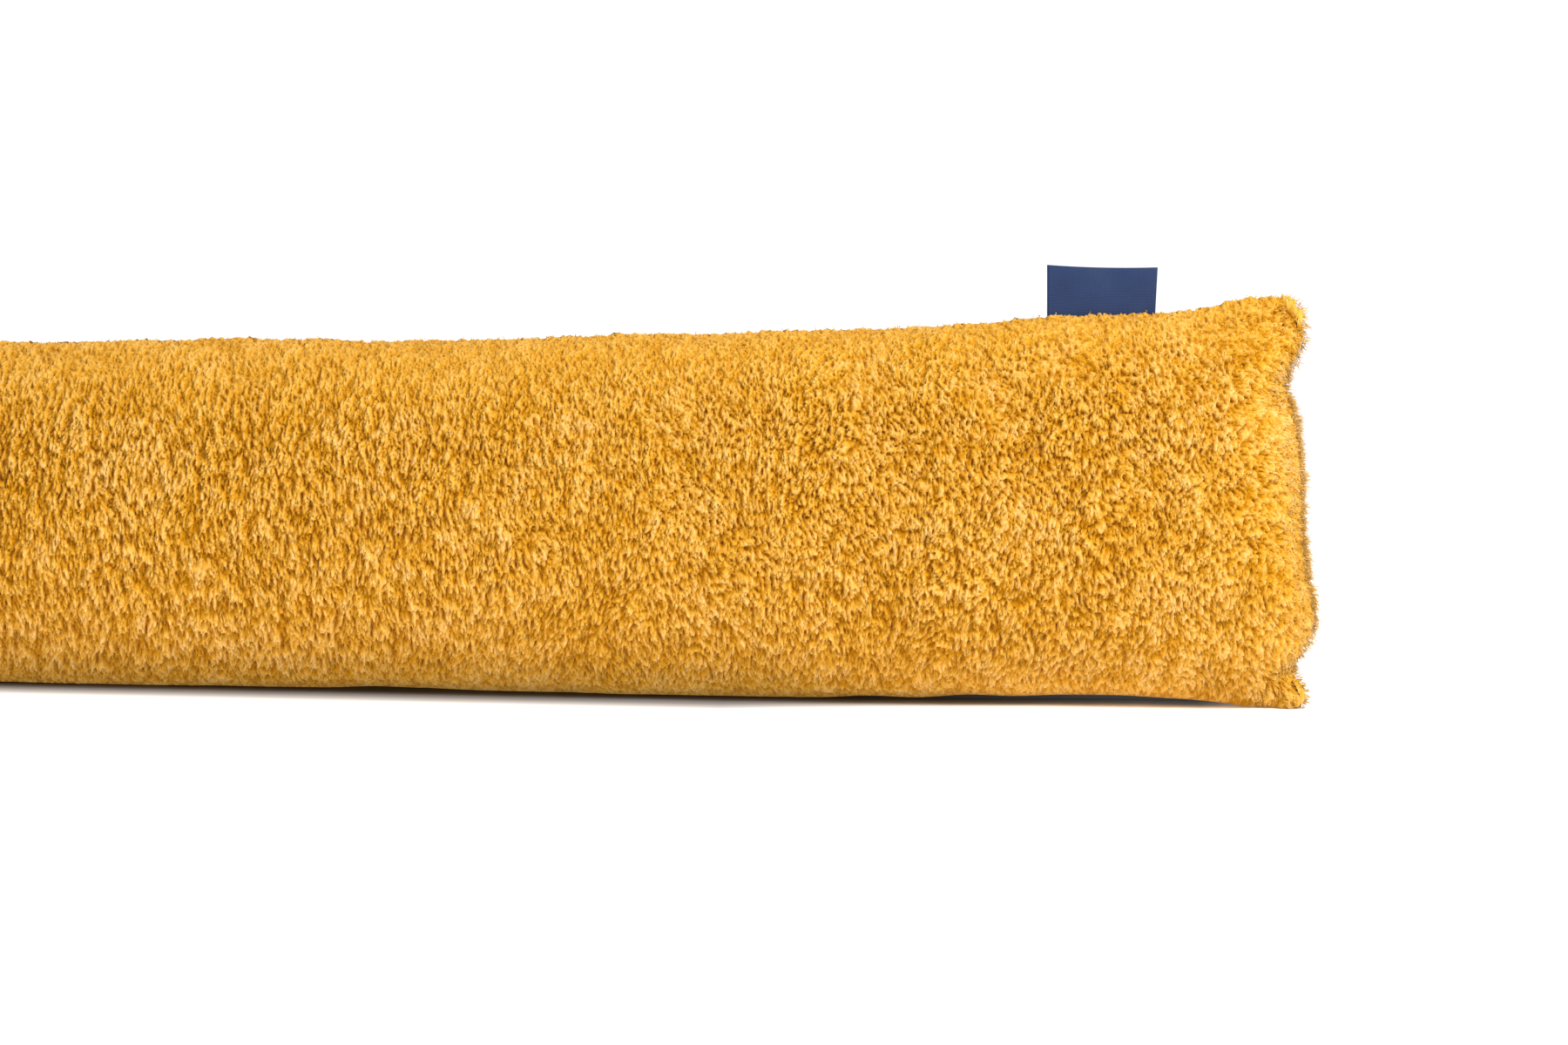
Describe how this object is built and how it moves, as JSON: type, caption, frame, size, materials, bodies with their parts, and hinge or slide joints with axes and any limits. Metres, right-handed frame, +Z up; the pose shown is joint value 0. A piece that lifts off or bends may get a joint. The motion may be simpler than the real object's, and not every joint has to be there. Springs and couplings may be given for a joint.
{
  "type": "draught excluder",
  "caption": "Long filled tube of mustard teddy fleece with flat sewn ends, pinched corners and a folded label in the top seam, for stopping draughts under a door.",
  "frame": {"origin": "on the floor under the middle of the tube, at the centre of its flattened underside", "axes": "+X along the tube to the end with the label, +Z up, and the front panel faces -Y"},
  "size_m": [0.9062, 0.128, 0.2112],
  "materials": {
    "teddy_fleece": "mustard teddy fleece with a short curled pile",
    "woven_label": "navy woven satin ribbon, bare"
  },
  "bodies": {
    "root": {"cover": "teddy_fleece", "label": "woven_label"}
  },
  "joints": []
}
